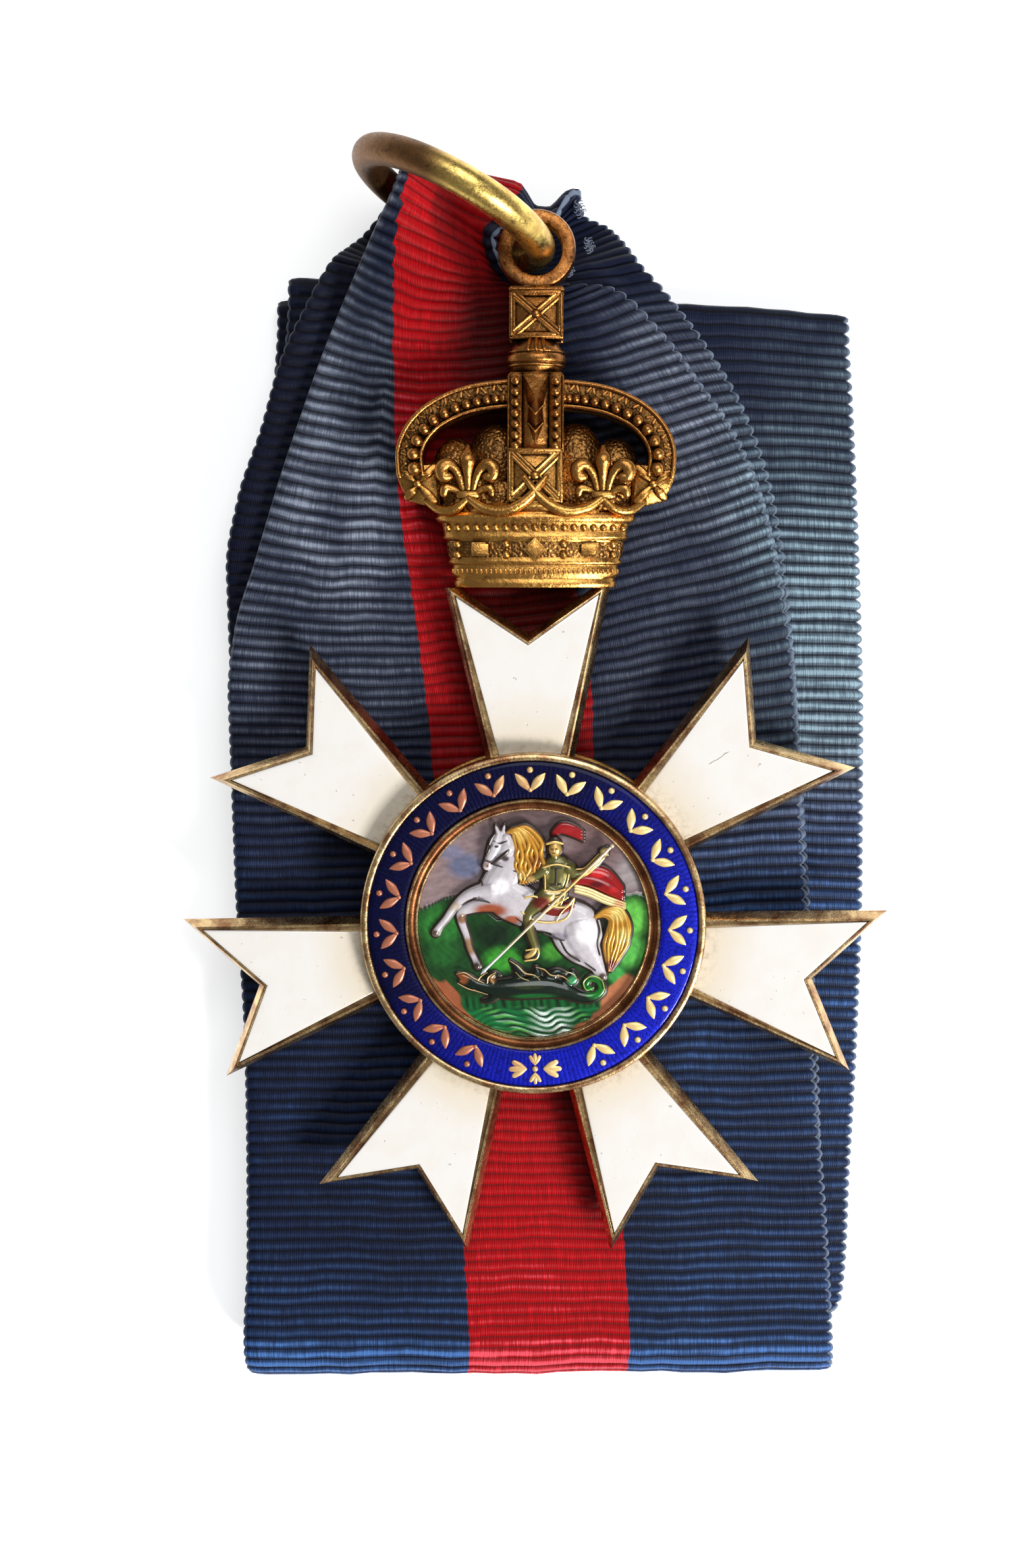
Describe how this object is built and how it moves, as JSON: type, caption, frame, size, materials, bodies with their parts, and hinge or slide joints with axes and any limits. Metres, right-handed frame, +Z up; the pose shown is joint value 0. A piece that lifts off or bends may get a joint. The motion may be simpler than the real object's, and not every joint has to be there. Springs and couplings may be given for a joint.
{
  "type": "order insignia",
  "caption": "Neck badge of an order: an enamelled forked cross with a round centre picture under a cast crown, hung by a ring from a corded silk ribbon folded beneath it.",
  "frame": {"origin": "on the plane of the table that the ribbon lies on, straight below the centre of the medallion", "axes": "+X to the right as the badge is seen, +Y towards the crown, +Z up out of the badge's face"},
  "size_m": [0.06, 0.1084, 0.0195],
  "materials": {
    "gilt": "polished gilt with brown patina in the corners",
    "white_enamel": "glossy white enamel with small pits",
    "blue_enamel": "glossy translucent dark blue enamel",
    "scene_enamel": "painted enamel ground, sky over green hills",
    "horse_enamel": "white enamel on raised relief",
    "olive_gilt": "olive-gold enamel on raised relief",
    "red_enamel": "red enamel on raised relief",
    "green_enamel": "dark green enamel on raised relief",
    "cast_gilt": "cast gilt with dark brown recesses",
    "ring_brass": "polished wire",
    "ribbon_silk": "corded silk, dark blue with a red middle stripe"
  },
  "bodies": {
    "root": {"cross_frame": "gilt", "arm_enamel_1": "white_enamel", "arm_enamel_2": "white_enamel", "arm_enamel_3": "white_enamel", "arm_enamel_4": "white_enamel", "arm_enamel_5": "white_enamel", "arm_enamel_6": "white_enamel", "arm_enamel_7": "white_enamel", "medallion_case": "gilt", "blue_enamel": "blue_enamel", "ring_ornament": "gilt", "scene_ground": "scene_enamel", "relief_horse": "horse_enamel", "relief_mane": "gilt", "relief_rider": "olive_gilt", "relief_cloak": "red_enamel", "relief_lance": "gilt", "relief_dragon": "green_enamel", "back_case": "gilt", "crown": "cast_gilt", "suspension_ring": "ring_brass", "ribbon": "ribbon_silk"}
  },
  "joints": []
}
